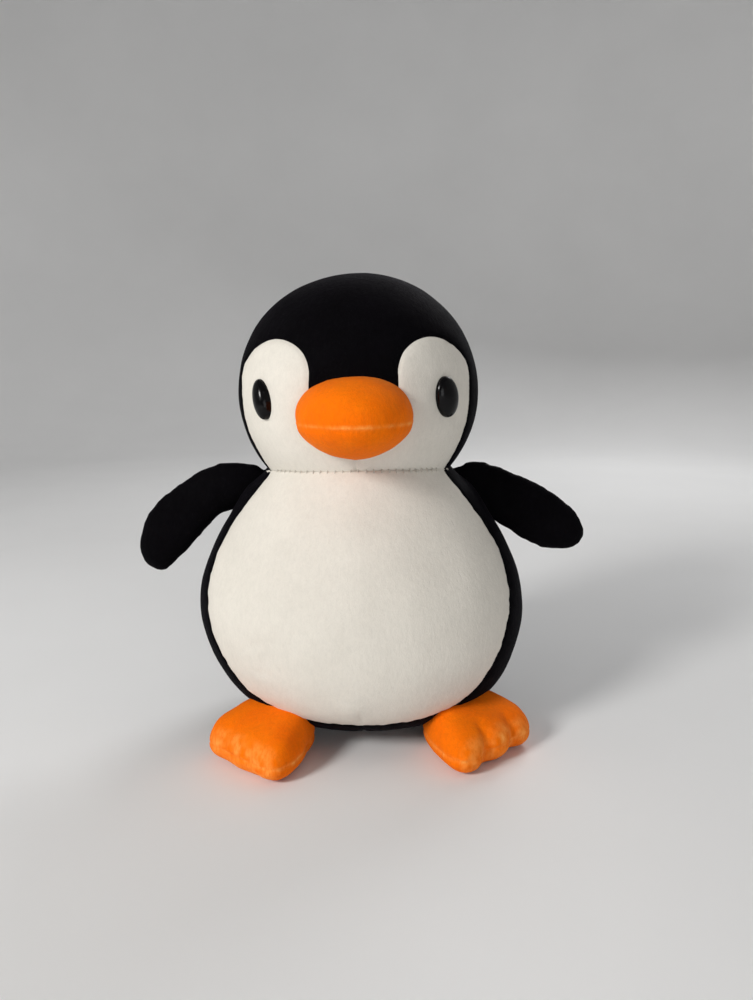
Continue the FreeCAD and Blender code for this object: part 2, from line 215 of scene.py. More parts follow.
def inside_distance(points, outline):
    """Distance of 2-D points from a closed outline, positive inside."""
    a = outline
    b = np.roll(outline, -1, axis=0)
    d = b - a
    best = np.full(len(points), np.inf)
    inside = np.zeros(len(points), bool)
    for start, step, end in zip(a, d, b):
        rel = points - start
        t = np.clip(rel @ step / max(step @ step, 1e-12), 0, 1)
        best = np.minimum(best, np.sum((rel - t[:, None] * step) ** 2, axis=1))
        crosses = (start[1] > points[:, 1]) != (end[1] > points[:, 1])
        if crosses.any():
            x = start[0] + (points[:, 1] - start[1]) * step[0] / (step[1] if step[1] else 1e-12)
            inside ^= crosses & (points[:, 0] < x)
    return np.where(inside, 1, -1) * np.sqrt(best)


def mirrored_outline(half):
    """A closed outline from its half on the toy's left, which runs from the top down."""
    other = half[::-1] * [-1, 1]
    return np.vstack([half, other])


# ---- meshes as arrays

def sheet_tris(rows, cols, closed=True):
    """Triangles of a grid of points, row by row. closed joins the last column to the first."""
    r, c = np.meshgrid(np.arange(rows - 1), np.arange(cols if closed else cols - 1), indexing="ij")
    a = (r * cols + c).ravel()
    b = (r * cols + (c + 1) % cols).ravel()
    return np.vstack([np.stack([a, b, b + cols], 1), np.stack([a, b + cols, a + cols], 1)])


def capped(verts, tris, row, last):
    """Closes the first or last row of a closed grid with a fan to its middle."""
    middle = len(verts)
    verts = np.vstack([verts, verts[row].mean(axis=0)])
    nxt = np.roll(row, -1)
    fan = np.stack([nxt, row, np.full(len(row), middle)], 1)
    if last:
        fan = fan[:, ::-1]
    return verts, np.vstack([tris, fan])


def tube(verts, rows, cols):
    """Closes a grid of points at both ends: the last two points are the middles of its ends."""
    verts, tris = capped(verts, sheet_tris(rows, cols), np.arange(cols), False)
    return capped(verts, tris, np.arange(cols) + (rows - 1) * cols, True)


def facing_out(verts, tris):
    """The triangles, turned round if they face into the shape."""
    a, b, c = (verts[tris[:, k]] for k in range(3))
    return tris if np.sum(a * np.cross(b, c)) > 0 else tris[:, ::-1]


def vertex_normals(verts, tris):
    """Normals averaged over each point's triangles, then over its neighbours, so that slivers do no harm."""
    a, b, c = (verts[tris[:, k]] for k in range(3))
    face = np.cross(b - a, c - a)
    total = np.zeros_like(verts)
    for k in range(3):
        np.add.at(total, tris[:, k], face)
    unit = total / np.maximum(np.linalg.norm(total, axis=1), 1e-12)[:, None]
    spread = np.zeros_like(verts)
    for k in range(3):
        np.add.at(spread, tris[:, k], unit[tris].sum(axis=1))
    return spread / np.maximum(np.linalg.norm(spread, axis=1), 1e-12)[:, None]


def cut_along(verts, tris, tags, height, only=None):
    """Cuts triangles where height passes zero, so that a seam runs along edges.

    Triangles get the tag 2 * old on the low side and 2 * old + 1 on the high side. only limits the cut to
    some tags.
    """
    height = np.where(np.abs(height) < 0.05, 0.0, height)
    sign = np.sign(height)
    corner = sign[tris]
    chosen = np.ones(len(tris), bool) if only is None else np.isin(tags, only)
    mixed = chosen & (corner.max(1) > 0) & (corner.min(1) < 0)
    keep = ~mixed
    high = np.where(chosen, corner.sum(1) > 0, 0)
    new_tris = [tris[keep]]
    new_tags = [np.where(chosen, 2 * tags + high, 2 * tags)[keep]]
    made = {}
    extra = []
    pieces = []
    piece_tags = []
    for tri, tag in zip(tris[mixed], tags[mixed]):
        ring = []
        for k in range(3):
            i, j = int(tri[k]), int(tri[(k + 1) % 3])
            ring.append((i, sign[i]))
            if sign[i] * sign[j] < 0:
                key = (min(i, j), max(i, j))
                if key not in made:
                    t = height[key[0]] / (height[key[0]] - height[key[1]])
                    made[key] = len(verts) + len(extra)
                    extra.append(verts[key[0]] * (1 - t) + verts[key[1]] * t)
                ring.append((made[key], 0))
        for side, bit in ((1, 1), (-1, 0)):
            corners = [i for i, s in ring if s * side >= 0]
            for k in range(1, len(corners) - 1):
                pieces.append((corners[0], corners[k], corners[k + 1]))
                piece_tags.append(2 * tag + bit)
    if pieces:
        verts = np.vstack([verts, np.array(extra)])
        new_tris.append(np.array(pieces))
        new_tags.append(np.array(piece_tags))
    return verts, np.vstack(new_tris), np.concatenate(new_tags)


def edge_table(tris):
    """Each triangle's three edges as sorted pairs, and the triangle that each belongs to."""
    edges = np.vstack([tris[:, [0, 1]], tris[:, [1, 2]], tris[:, [2, 0]]])
    owner = np.tile(np.arange(len(tris)), 3)
    return edges, owner


def seam_edges(tris, tags):
    """Pairs of points on a line where the tag changes."""
    edges, owner = edge_table(tris)
    key = np.sort(edges, axis=1)
    order = np.lexsort((key[:, 1], key[:, 0]))
    key, owner = key[order], owner[order]
    same = np.all(key[1:] == key[:-1], axis=1)
    differ = same & (tags[owner[1:]] != tags[owner[:-1]])
    return key[1:][differ]


def line_distance(points, segments, reach):
    """Distance from points to the nearest of many short segments, up to reach."""
    mids = segments.mean(axis=1)
    tree = KDTree(len(mids))
    for i, m in enumerate(mids):
        tree.insert(m, i)
    tree.balance()
    out = np.full(len(points), float(reach))
    for i, p in enumerate(points):
        if tree.find(p)[2] > reach + 1:
            continue
        near = [j for _, j, _ in tree.find_n(p, 4)]
        a = segments[near, 0]
        d = segments[near, 1] - a
        t = np.clip(np.sum((p - a) * d, axis=1) / np.maximum(np.sum(d * d, axis=1), 1e-9), 0, 1)
        out[i] = min(reach, np.sqrt(np.sum((p - a - t[:, None] * d) ** 2, axis=1).min()))
    return out


def seam_groove(verts, tris, segments, depth, width, pull, pull_width, seed):
    """Presses the fabric in along seams: a narrow groove, and a wide soft pull that puckers."""
    normals = vertex_normals(verts, tris)
    d = line_distance(verts, segments, pull_width * 2.5)
    pucker = 1 + 0.7 * lattice_noise(verts, 4.2, seed) + 0.3 * lattice_noise(verts, 2.1, seed + 1)
    inward = depth * np.exp(-(d / width) ** 2) + pull * pucker * np.exp(-(d / pull_width) ** 2)
    return verts - normals * inward[:, None]


def lumpy(verts, tris, amounts, seed):
    """Moves points along their normals by noise: amounts are (size of a lump, height) pairs."""
    normals = vertex_normals(verts, tris)
    move = sum(height * lattice_noise(verts, cell, seed + i) for i, (cell, height) in enumerate(amounts))
    return verts + normals * move[:, None]


def thickened(verts, normals, tris, skin):
    """Gives a sheet an inner side, inwards along normals, and closed edges."""
    edges, _ = edge_table(tris)
    key = np.sort(edges, axis=1)
    _, first, counts = np.unique(key, axis=0, return_index=True, return_counts=True)
    rim = edges[first[counts == 1]]
    n = len(verts)
    inner = verts - normals * skin
    wall = np.vstack([np.stack([rim[:, 1], rim[:, 0], rim[:, 0] + n], 1),
                      np.stack([rim[:, 1], rim[:, 0] + n, rim[:, 1] + n], 1)])
    return np.vstack([verts, inner]), np.vstack([tris, tris[:, ::-1] + n, wall])


def make_object(name, verts, faces, material, painted_sheen=None):
    """A smooth mesh object from millimetre points and triangles. The last argument, 0 to 1 at each point, is
    the amount of painted sheen, a lighter colour where the pile catches the light.
    """
    mesh = bpy.data.meshes.new(name)
    faces = np.asarray(faces)
    sides = faces.shape[1]
    mesh.vertices.add(len(verts))
    mesh.vertices.foreach_set("co", (np.asarray(verts) * MM).astype(np.float32).ravel())
    mesh.loops.add(faces.size)
    mesh.loops.foreach_set("vertex_index", faces.astype(np.int32).ravel())
    mesh.polygons.add(len(faces))
    mesh.polygons.foreach_set("loop_start", np.arange(0, faces.size, sides, dtype=np.int32))
    mesh.update(calc_edges=True)
    if painted_sheen is not None:
        mesh.attributes.new("painted_sheen", "FLOAT", "POINT").data.foreach_set("value", painted_sheen.astype(np.float32))
    mesh.shade_smooth()
    mesh.set_sharp_from_angle(angle=math.radians(SHARP_ANGLE))
    mesh.materials.append(material)
    obj = bpy.data.objects.new(name, mesh)
    bpy.context.scene.collection.objects.link(obj)
    return obj


def read_mesh(mesh):
    """Points in millimetres and triangles of a Blender mesh."""
    co = np.zeros(len(mesh.vertices) * 3)
    mesh.vertices.foreach_get("co", co)
    mesh.calc_loop_triangles()
    tris = np.zeros(len(mesh.loop_triangles) * 3, np.int32)
    mesh.loop_triangles.foreach_get("vertices", tris)
    return co.reshape(-1, 3) / MM, tris.reshape(-1, 3)


def snapped(values, level, reach):
    """Values within reach of level become level, so that a cut there leaves no thin slivers."""
    return np.where(np.abs(values - level) < reach, level, values)


def strand(points, radius, sides=8):
    """A round thread through points, closed at both ends."""
    path = smooth_curve(points, count=9)
    ahead = np.gradient(path, axis=0)
    ahead /= np.linalg.norm(ahead, axis=1)[:, None]
    out = np.cross(ahead, np.cross(path.mean(axis=0) * [1, 1, 0], ahead))
    out /= np.linalg.norm(out, axis=1)[:, None]
    across = np.cross(ahead, out)
    a = np.linspace(0, 2 * math.pi, sides, endpoint=False)[None, :, None]
    grid = path[:, None] + radius * (np.cos(a) * out[:, None] + np.sin(a) * across[:, None])
    verts, tris = tube(grid.reshape(-1, 3), len(path), sides)
    middle = verts.mean(axis=0)
    return verts, facing_out(verts - middle, tris)


def joined(parts):
    """Several shapes as one: points and triangles."""
    verts = np.vstack([v for v, _ in parts])
    starts = np.cumsum([0] + [len(v) for v, _ in parts[:-1]])
    return verts, np.vstack([t + start for (_, t), start in zip(parts, starts)])


def panel(name, verts, normals, tris, material, painted_sheen=None):
    """One cut piece of fabric as its own closed object. normals are those of the whole shape it is cut from."""
    used = np.unique(tris)
    if painted_sheen is not None:
        painted_sheen = np.tile(painted_sheen[used], 2)
    renumber = np.full(len(verts), -1)
    renumber[used] = np.arange(len(used))
    sheet = thickened(verts[used], normals[used], renumber[tris], SKIN)
    return make_object(name, *sheet, material, painted_sheen)


# ---- materials

def linear(srgb):
    """Linear light from 0-255 display values."""
    c = np.array(srgb, float) / 255
    return tuple(np.where(c <= 0.04045, c / 12.92, ((c + 0.055) / 1.055) ** 2.4)) + (1.0,)


def new_material(name):
    """A material, its nodes, its shader and the object's own coordinates."""
    material = bpy.data.materials.new(name)
    material.use_nodes = True
    tree = material.node_tree
    tree.nodes.clear()
    output = tree.nodes.new("ShaderNodeOutputMaterial")
    shader = tree.nodes.new("ShaderNodeBsdfPrincipled")
    tree.links.new(shader.outputs["BSDF"], output.inputs["Surface"])
    return material, tree, shader, tree.nodes.new("ShaderNodeTexCoord").outputs["Object"]


def adjust(node, values):
    """Sets a node's inputs."""
    for name, value in values.items():
        node.inputs[name].default_value = value


def noise_node(tree, vector, scale, detail=3.0, rough=0.55):
    node = tree.nodes.new("ShaderNodeTexNoise")
    adjust(node, {"Scale": scale, "Detail": detail, "Roughness": rough})
    tree.links.new(vector, node.inputs["Vector"])
    return node.outputs["Fac"]


def ramp_node(tree, factor, low, high, start=0.3, end=0.7):
    node = tree.nodes.new("ShaderNodeValToRGB")
    node.color_ramp.elements[0].position = start
    node.color_ramp.elements[0].color = low
    node.color_ramp.elements[1].position = end
    node.color_ramp.elements[1].color = high
    tree.links.new(factor, node.inputs["Fac"])
    return node.outputs["Color"]


def mix_node(tree, kind, factor, a, b):
    node = tree.nodes.new("ShaderNodeMix")
    node.data_type = "RGBA"
    node.blend_type = kind
    node.inputs["Factor"].default_value = factor
    tree.links.new(a, node.inputs["A"])
    tree.links.new(b, node.inputs["B"])
    return node.outputs["Result"]


def bump_node(tree, shader, height, strength, distance):
    node = tree.nodes.new("ShaderNodeBump")
    adjust(node, {"Strength": strength, "Distance": distance})
    tree.links.new(height, node.inputs["Height"])
    tree.links.new(node.outputs["Normal"], shader.inputs["Normal"])


def grey(value):
    return (value, value, value, 1.0)


def velvet(name, light, dark, sheen, sheen_tint, pile_depth, speckle, mottle=0.16, gloss=0.1, painted_sheen_colour=None):
    """Short-pile velvet: patches of nap lying different ways, clumps of pile and single fibres, with a soft
    sheen.

    The last argument is the colour of a painted sheen, laid on where pile standing up on seams and toe tips
    catches the light.
    """
    material, tree, shader, place = new_material(name)
    nap = tree.nodes.new("ShaderNodeMapping")
    nap.inputs["Scale"].default_value = (1.0, 1.0, 0.45)
    tree.links.new(place, nap.inputs["Vector"])
    nap = nap.outputs["Vector"]
    patches = noise_node(tree, place, 42.0, 4.0, 0.6)
    clumps = noise_node(tree, nap, 520.0, 4.0, 0.65)
    fibres = noise_node(tree, nap, 2100.0, 2.0, 0.6)
    colour = ramp_node(tree, patches, dark, light, 0.5 - mottle, 0.5 + mottle)
    grain = ramp_node(tree, clumps, grey(1 - speckle), grey(1.0), 0.32, 0.62)
    colour = mix_node(tree, "MULTIPLY", 1.0, colour, grain)
    single = ramp_node(tree, fibres, grey(1 - speckle * 0.8), grey(1.0), 0.35, 0.6)
    colour = mix_node(tree, "MULTIPLY", 1.0, colour, single)
    # Painted sheen: a point attribute lightens the colour on seams and toe tips, where standing pile catches
    # the light.
    if painted_sheen_colour:
        sheen_attribute = tree.nodes.new("ShaderNodeAttribute")
        sheen_attribute.attribute_name = "painted_sheen"
        sheen_amount = tree.nodes.new("ShaderNodeMath")
        sheen_amount.operation = "MULTIPLY"
        tree.links.new(sheen_attribute.outputs["Fac"], sheen_amount.inputs[0])
        tree.links.new(ramp_node(tree, clumps, grey(0.35), grey(1.0), 0.35, 0.6), sheen_amount.inputs[1])
        blend = tree.nodes.new("ShaderNodeMix")
        blend.data_type = "RGBA"
        blend.inputs["B"].default_value = painted_sheen_colour
        tree.links.new(sheen_amount.outputs[0], blend.inputs["Factor"])
        tree.links.new(colour, blend.inputs["A"])
        colour = blend.outputs["Result"]
    tree.links.new(colour, shader.inputs["Base Color"])
    rough = ramp_node(tree, clumps, grey(0.78), grey(0.96))
    tree.links.new(rough, shader.inputs["Roughness"])
    adjust(shader, {"Specular IOR Level": gloss, "Sheen Weight": sheen, "Sheen Roughness": 0.42,
                    "Sheen Tint": sheen_tint})
    height = tree.nodes.new("ShaderNodeMath")
    height.operation = "MULTIPLY_ADD"
    height.inputs[1].default_value = 0.45
    tree.links.new(fibres, height.inputs[0])
    tree.links.new(clumps, height.inputs[2])
    bump_node(tree, shader, height.outputs[0], 0.7, pile_depth)
    return material


def polished(name, colour, roughness):
    """Polished moulded plastic with a faint uneven gloss."""
    material, tree, shader, place = new_material(name)
    swirl = noise_node(tree, place, 220.0, 2.0)
    rough = ramp_node(tree, swirl, grey(roughness), grey(roughness * 1.8))
    tree.links.new(rough, shader.inputs["Roughness"])
    tone = ramp_node(tree, swirl, colour, tuple(min(1.0, c * 1.4) for c in colour[:3]) + (1.0,))
    tree.links.new(tone, shader.inputs["Base Color"])
    adjust(shader, {"Specular IOR Level": 0.12, "Coat Weight": 0.12, "Coat Roughness": 0.04})
    return material


def thread(name, colour):
    """Twisted sewing thread."""
    material, tree, shader, place = new_material(name)
    twist = tree.nodes.new("ShaderNodeTexWave")
    adjust(twist, {"Scale": 900.0, "Distortion": 3.0})
    tree.links.new(place, twist.inputs["Vector"])
    # The base colour is darker in the grooves of the twist: painted shade.
    tone = ramp_node(tree, twist.outputs["Fac"], tuple(0.7 * c for c in colour[:3]) + (1.0,), colour)
    tree.links.new(tone, shader.inputs["Base Color"])
    shader.inputs["Roughness"].default_value = 0.6
    bump_node(tree, shader, twist.outputs["Fac"], 0.6, 0.0001)
    return material


WHITE = velvet("velvet_white", linear((224, 219, 209)), linear((219, 214, 204)), sheen=0.14,
               sheen_tint=(1.0, 0.98, 0.95, 1.0), pile_depth=0.00030, speckle=0.05)
BLACK = velvet("velvet_black", linear((6, 5, 8)), linear((3, 2, 4)), sheen=0.012,
               sheen_tint=(0.6, 0.5, 0.8, 1.0), pile_depth=0.00035, speckle=0.25, gloss=0.05)
# The orange also gets a painted sheen: a lighter orange on seams and toe tips, where the pile catches the
# light.
ORANGE = velvet("velvet_orange", linear((254, 122, 1)), linear((250, 112, 0)), sheen=0.1,
                sheen_tint=(1.0, 0.6, 0.2, 1.0), pile_depth=0.0004, speckle=0.10,
                painted_sheen_colour=linear((255, 172, 84)))
FIBRE = velvet("stuffing_fibre", linear((240, 240, 238)), linear((222, 222, 220)), sheen=0.3,
               sheen_tint=(1.0, 1.0, 1.0, 1.0), pile_depth=0.0006, speckle=0.2, mottle=0.2)
EYE = polished("eye_plastic", linear((4, 3, 4)), 0.14)
WASHER = polished("washer_plastic", linear((216, 216, 210)), 0.4)
THREAD_WHITE = thread("thread_white", linear((214, 210, 200)))
THREAD_BLACK = thread("thread_black", linear((26, 24, 28)))


# ---- stuffing

def stuffed(verts, tris, voxel, pressure, cap):
    """Swells a closed shape as stuffing would: remeshed, simulated as cloth under pressure, then subdivided."""
    mesh = bpy.data.meshes.new("stuffed")
    mesh.from_pydata((verts * MM).tolist(), [], tris.tolist())
    obj = bpy.data.objects.new("stuffed", mesh)
    bpy.context.scene.collection.objects.link(obj)
    remesh = obj.modifiers.new("remesh", "REMESH")
    remesh.mode = "VOXEL"
    remesh.voxel_size = voxel * MM
    soften = obj.modifiers.new("soften", "SMOOTH")
    soften.factor = 0.5
    soften.iterations = 8
    bake_modifiers(obj)
    count = len(obj.data.vertices)
    before = np.zeros(count * 3)
    obj.data.vertices.foreach_get("co", before)
    cloth = obj.modifiers.new("cloth", "CLOTH")
    cloth.settings.quality = 6
    cloth.settings.use_pressure = True
    cloth.settings.uniform_pressure_force = pressure
    cloth.settings.effector_weights.gravity = 0.0
    cloth.settings.tension_stiffness = CLOTH_STIFFNESS
    cloth.settings.compression_stiffness = CLOTH_STIFFNESS
    cloth.settings.bending_stiffness = 0.6
    for step in range(1, CLOTH_STEPS + 1):
        bpy.context.scene.frame_set(step)
    bake_modifiers(obj)
    bpy.context.scene.frame_set(1)
    after = np.zeros(count * 3)
    obj.data.vertices.foreach_get("co", after)
    move = (after - before).reshape(-1, 3)
    length = np.linalg.norm(move, axis=1)[:, None]
    move *= np.minimum(1.0, cap * MM / np.maximum(length, 1e-9))
    obj.data.vertices.foreach_set("co", (before.reshape(-1, 3) + move).ravel())
    obj.modifiers.new("fine", "SUBSURF").levels = 1
    bake_modifiers(obj)
    out = read_mesh(obj.data)
    bpy.data.meshes.remove(obj.data)
    return out


def bake_modifiers(obj):
    """Replaces an object's mesh by what its modifiers make of it."""
    graph = bpy.context.evaluated_depsgraph_get()
    made = bpy.data.meshes.new_from_object(obj.evaluated_get(graph), depsgraph=graph)
    old = obj.data
    obj.modifiers.clear()
    obj.data = made
    bpy.data.meshes.remove(old)


# ---- head

def ball_mesh(detail):
    """A sphere of radius one, of even triangles."""
    bm = bmesh.new()
    bmesh.ops.create_icosphere(bm, subdivisions=detail, radius=1.0)
    mesh = bpy.data.meshes.new("ball")
    bm.to_mesh(mesh)
    bm.free()
    verts, tris = read_mesh(mesh)
    bpy.data.meshes.remove(mesh)
    return verts / np.linalg.norm(verts, axis=1)[:, None], tris


def direction(azimuth, elevation):
    azimuth, elevation = math.radians(azimuth), math.radians(elevation)
    return np.array([math.sin(azimuth) * math.cos(elevation), -math.cos(azimuth) * math.cos(elevation),
                     math.sin(elevation)])


def eye_seat(name):
    return HEAD + direction(SIDES[name] * EYE_AZIMUTH[name], EYE_ELEVATION) * HEAD_R


def head_shape(verts):
    """The whole head as stuffed: a little wider, flatter on top, and turned."""
    rel = verts - HEAD
    turn = math.radians(HEAD_TURN)
    x = rel[:, 0] * HEAD_WIDEN
    z = rel[:, 2] - CROWN_FLATTEN * (np.maximum(rel[:, 2], 0) / HEAD_R) ** 2
    return HEAD + np.stack([x * math.cos(turn) - rel[:, 1] * math.sin(turn),
                            x * math.sin(turn) + rel[:, 1] * math.cos(turn), z], axis=1)


def build_head():
    verts, tris = ball_mesh(7)
    verts = verts * HEAD_R
    keep = verts[:, 2] > -HEAD_R * math.cos(math.radians(HEAD_OPENING))
    tris = tris[keep[tris].all(axis=1)]
    tags = np.zeros(len(tris), int)
    half = smooth_curve(FACE, 1.5)
    outline = np.vstack([half, [(0.0, half[-1][1])]])
    for name, side in SIDES.items():
        front = verts[:, 1] < 0
        shape = outline * [side * FACE_STRETCH[name], 1]
        level = np.where(front, inside_distance(verts[:, [0, 2]], shape), OFF_PANEL)
        level = np.where((level > -2) & (level < 2) & (np.abs(verts[:, 0]) < 0.8) & (verts[:, 2] < -14),
                         side * verts[:, 0], level)
        verts, tris, tags = cut_along(verts, tris, tags, level)
    # 0 black, 2 left face, 1 right face
    verts, tris, tags = cut_along(verts, tris, tags, verts[:, 1] - CORONAL_Y, [0])
    # 0 crown, 1 back, 4 left face, 2 right face
    verts, tris, tags = cut_along(verts, tris, tags, verts[:, 0], [1])
    # 0 crown, 2 back right, 3 back left, 8 left face, 4 right face
    verts = verts + HEAD
    segments = verts[seam_edges(tris, tags)]
    verts = lumpy(verts, tris, [(38.0, 0.5), (14.0, 0.18), (3.0, 0.05)], 11)
    verts = seam_groove(verts, tris, segments, depth=0.7, width=0.9, pull=0.35, pull_width=3.5, seed=21)
    for name in SIDES:
        away = np.linalg.norm(verts - eye_seat(name), axis=1)
        verts = verts - (verts - HEAD) / HEAD_R * (EYE_DIMPLE * np.exp(-(away / EYE_DIMPLE_R) ** 2))[:, None]
    verts = head_shape(verts)
    names = {0: ("crown", BLACK), 2: ("head_back_right_velvet", BLACK), 3: ("head_back_left_velvet", BLACK),
             8: ("cheek_left", WHITE), 4: ("cheek_right", WHITE)}
    normals = vertex_normals(verts, tris)
    return {name: panel(name, verts, normals, tris[tags == tag], material)
            for tag, (name, material) in names.items()}


def beak_egg():
    """A closed egg, boxier above its seam and more pointed below."""
    rows, cols = 60, 110
    lift = np.linspace(-1, 1, rows + 2)[1:-1, None] * math.pi / 2
    around = np.linspace(0, 2 * math.pi, cols, endpoint=False)
    square = np.where(lift > 0, BEAK_SQUARE[0], BEAK_SQUARE[1])
    ring = np.cos(lift) ** square
    height = np.where(lift > 0, BEAK_UP, -BEAK_DOWN) * np.abs(np.sin(lift)) ** square
    x = BEAK_HALF[0] * ring * np.cos(around)
    y = BEAK_HALF[1] * ring * np.sin(around)
    grid = np.stack([x, y, height + 0 * x], axis=-1) + BEAK
    return tube(grid.reshape(-1, 3), rows, cols)


def build_beak():
    """The egg, stuffed, then cut where it meets the face and along its seam."""
    verts, tris = stuffed(*beak_egg(), *BEAK_STUFFING)
    tags = np.zeros(len(tris), int)
    out = np.linalg.norm(verts - HEAD, axis=1) - (HEAD_R - BEAK_SINK)
    verts, tris, tags = cut_along(verts, tris, tags, out)
    tris, tags = tris[tags == 1], tags[tags == 1] * 0
    x = (verts[:, 0] - BEAK[0]) / BEAK_HALF[0]
    seam_z = BEAK[2] - BEAK_DROOP * (1 - np.clip(x, -1, 1) ** 2)
    verts[:, 2] = snapped(verts[:, 2], seam_z, 0.45)
    verts, tris, tags = cut_along(verts, tris, tags, verts[:, 2] - seam_z)
    segments = verts[seam_edges(tris, tags)]
    verts = lumpy(verts, tris, [(16.0, 0.4), (6.0, 0.15)], 31)
    verts = seam_groove(verts, tris, segments, depth=-0.3, width=0.7, pull=0.45, pull_width=2.4, seed=33)
    # Painted sheen along the beak's seam ridge, where the pile catches the light.
    painted_sheen = seam_painted_sheen(verts, segments, 0.7, 35)
    verts = head_shape(verts)
    normals = vertex_normals(verts, tris)
    return (panel("beak_upper_velvet", verts, normals, tris[tags == 1], ORANGE, painted_sheen),
            panel("beak_lower_velvet", verts, normals, tris[tags == 0], ORANGE, painted_sheen))


def seam_painted_sheen(verts, segments, width, seed):
    """Painted sheen along a seam, where the raised pile catches the light: 1 on the seam, broken up by noise, 0
    away from it.
    """
    d = line_distance(verts, segments, width * 3)
    return np.exp(-(d / width) ** 2) * np.clip(0.65 + 0.6 * lattice_noise(verts, 2.5, seed), 0, 1)


def build_eye(name):
    """A glossy oval dome whose rim sinks into the pile."""
    rows, cols = 26, 72
    angle = np.linspace(0, math.pi / 2, rows)[:, None]
    around = np.linspace(0, 2 * math.pi, cols, endpoint=False)
    x = EYE_HALF[name][0] * np.sin(angle) * np.cos(around)
    y = EYE_HALF[name][1] * np.sin(angle) * np.sin(around)
    z = EYE_DOME * np.cos(angle) ** 0.9 + 0 * x
    rim = np.stack([x[-1], y[-1], np.full(cols, -EYE_ROOT)], axis=-1)
    grid = np.concatenate([np.stack([x, y, z], axis=-1)[1:], rim[None]])
    verts, tris = tube(grid.reshape(-1, 3), rows, cols)
    verts[-2] = (0, 0, EYE_DOME)
    out = direction(SIDES[name] * EYE_FACING[name], EYE_ELEVATION)
    across = np.cross([0, 0, 1], out)
    across /= np.linalg.norm(across)
    upward = np.cross(out, across)
    lean = math.radians(EYE_LEAN[name])
    wide = across * math.cos(lean) + upward * math.sin(lean)
    tall = upward * math.cos(lean) - across * math.sin(lean)
    centre = eye_seat(name) - direction(SIDES[name] * EYE_AZIMUTH[name], EYE_ELEVATION) * EYE_SINK
    verts = head_shape(centre + verts[:, :1] * wide + verts[:, 1:2] * tall + verts[:, 2:] * out)
    return make_object(f"eye_dome_{name}", verts, facing_out(verts - centre, tris), EYE)


# ---- torso

def torso_grid():
    """Columns from inside the cup, over the neck rim, down the body and under the base."""
    cols = int(2 * math.pi * MEAN_GIRTH_R / PILE_SPACING)
    rows = int(COLUMN_LENGTH / PILE_SPACING)
    body = np.array(TORSO)
    columns = []
    for a in np.linspace(0, 2 * math.pi, cols, endpoint=False):
        c, s = math.cos(a), math.sin(a)
        rim_z = RIM_BACK_Z + (RIM_FRONT_Z - RIM_BACK_Z) * ((1 - s) / 2) ** 2.5
        rim_angle = math.acos((HEAD[2] - rim_z) / CUP_R)
        start = math.radians(CUP_START)
        stops = []
        for part in (0.0, 0.35, 0.7, 1.0):
            angle = start + (rim_angle - start) * part
            r = CUP_R + CUP_SLACK * math.sqrt(1 - part)
            stops.append((r * math.sin(angle), HEAD[2] - r * math.cos(angle)))
        r = stops[-1][0]
        stops += [(r + 1.1, rim_z - 0.9), (r + 2.4, rim_z - 2.6)]
        neck = [(q * c, q * s, z) for q, z in stops]
        below = np.stack([body[:, 1] * c, body[:, 2] * s - body[:, 3], body[:, 0]], axis=1)
        columns.append(smooth_curve(np.vstack([neck, below]), count=rows))
    return np.stack(columns, axis=1).reshape(-1, 3), sheet_tris(rows, cols), rows, cols


def belly_dart(verts):
    """A short pinched dart at the bottom of the belly: how far each point is pressed in."""
    x, y, z = verts.T
    x = x - 2.0
    along = np.clip((z - 23.0) / 14.0, 0, 1)
    groove = 1.0 * np.exp(-(x / 1.2) ** 2) * (1 - along) ** 1.5 * np.clip((z - 22.5) / 3.0, 0, 1)
    swell = -0.8 * np.exp(-((x + 4.0) / 7.0) ** 2 - ((z - 35.0) / 6.0) ** 2)
    return np.where(y < 0, groove + swell, 0.0)


def belly_wrinkles(verts):
    """Faint folds low on the toy's right: how far each point is pressed in."""
    x, y, z = verts.T
    press = np.zeros(len(verts))
    for (x0, z0), (x1, z1) in BELLY_FOLDS:
        d = np.array([x1 - x0, z1 - z0])
        t = np.clip(((x - x0) * d[0] + (z - z0) * d[1]) / (d @ d), 0, 1)
        away = np.hypot(x - x0 - t * d[0], z - z0 - t * d[1])
        press += FOLD_DEPTH * np.exp(-(away / FOLD_WIDTH) ** 2) * np.sin(math.pi * np.clip(t, 0.05, 0.95))
    return np.where(y < 0, press, 0.0)


def build_torso():
    verts, tris, rows, cols = torso_grid()
    verts, tris = capped(verts, tris, np.arange(cols) + (rows - 1) * cols, True)
    verts[:, 2] = verts[:, 2].clip(0)
    tris = facing_out(verts, tris)
    tags = np.zeros(len(tris), int)
    outline = mirrored_outline(smooth_curve(BELLY, 1.5))
    front = verts[:, 1] < 20
    level = np.where(front, inside_distance(verts[:, [0, 2]], outline), OFF_PANEL)
    level = np.where((verts[:, 1] > 2.0) | (verts[:, 2] < 8), OFF_PANEL, level)
    verts, tris, tags = cut_along(verts, tris, tags, level)
    verts, tris, tags = cut_along(verts, tris, tags, verts[:, 0], [0])
    # 0 back right, 1 back left, 2 belly
    heights = np.array(TORSO)[::-1]
    verts[:, 0] += np.interp(verts[:, 2], heights[:, 0], heights[:, 4])
    segments = verts[seam_edges(tris, tags)]
    base = verts[:, 2] < 1.0
    base_z = verts[:, 2].copy()
    verts = lumpy(verts, tris, [(45.0, 0.8), (16.0, 0.25), (3.0, 0.05)], 41)
    verts = seam_groove(verts, tris, segments, depth=0.7, width=0.9, pull=0.45, pull_width=4.0, seed=51)
    press = belly_dart(verts) + belly_wrinkles(verts)
    verts = verts - vertex_normals(verts, tris) * press[:, None]
    verts[:, 2] = np.where(base, base_z, np.maximum(verts[:, 2], 0.05))
    names = {2: ("belly_velvet", WHITE), 1: ("back_left_velvet", BLACK), 0: ("back_right_velvet", BLACK)}
    normals = vertex_normals(verts, tris)
    return {name: panel(name, verts, normals, tris[tags == tag], material)
            for tag, (name, material) in names.items()}


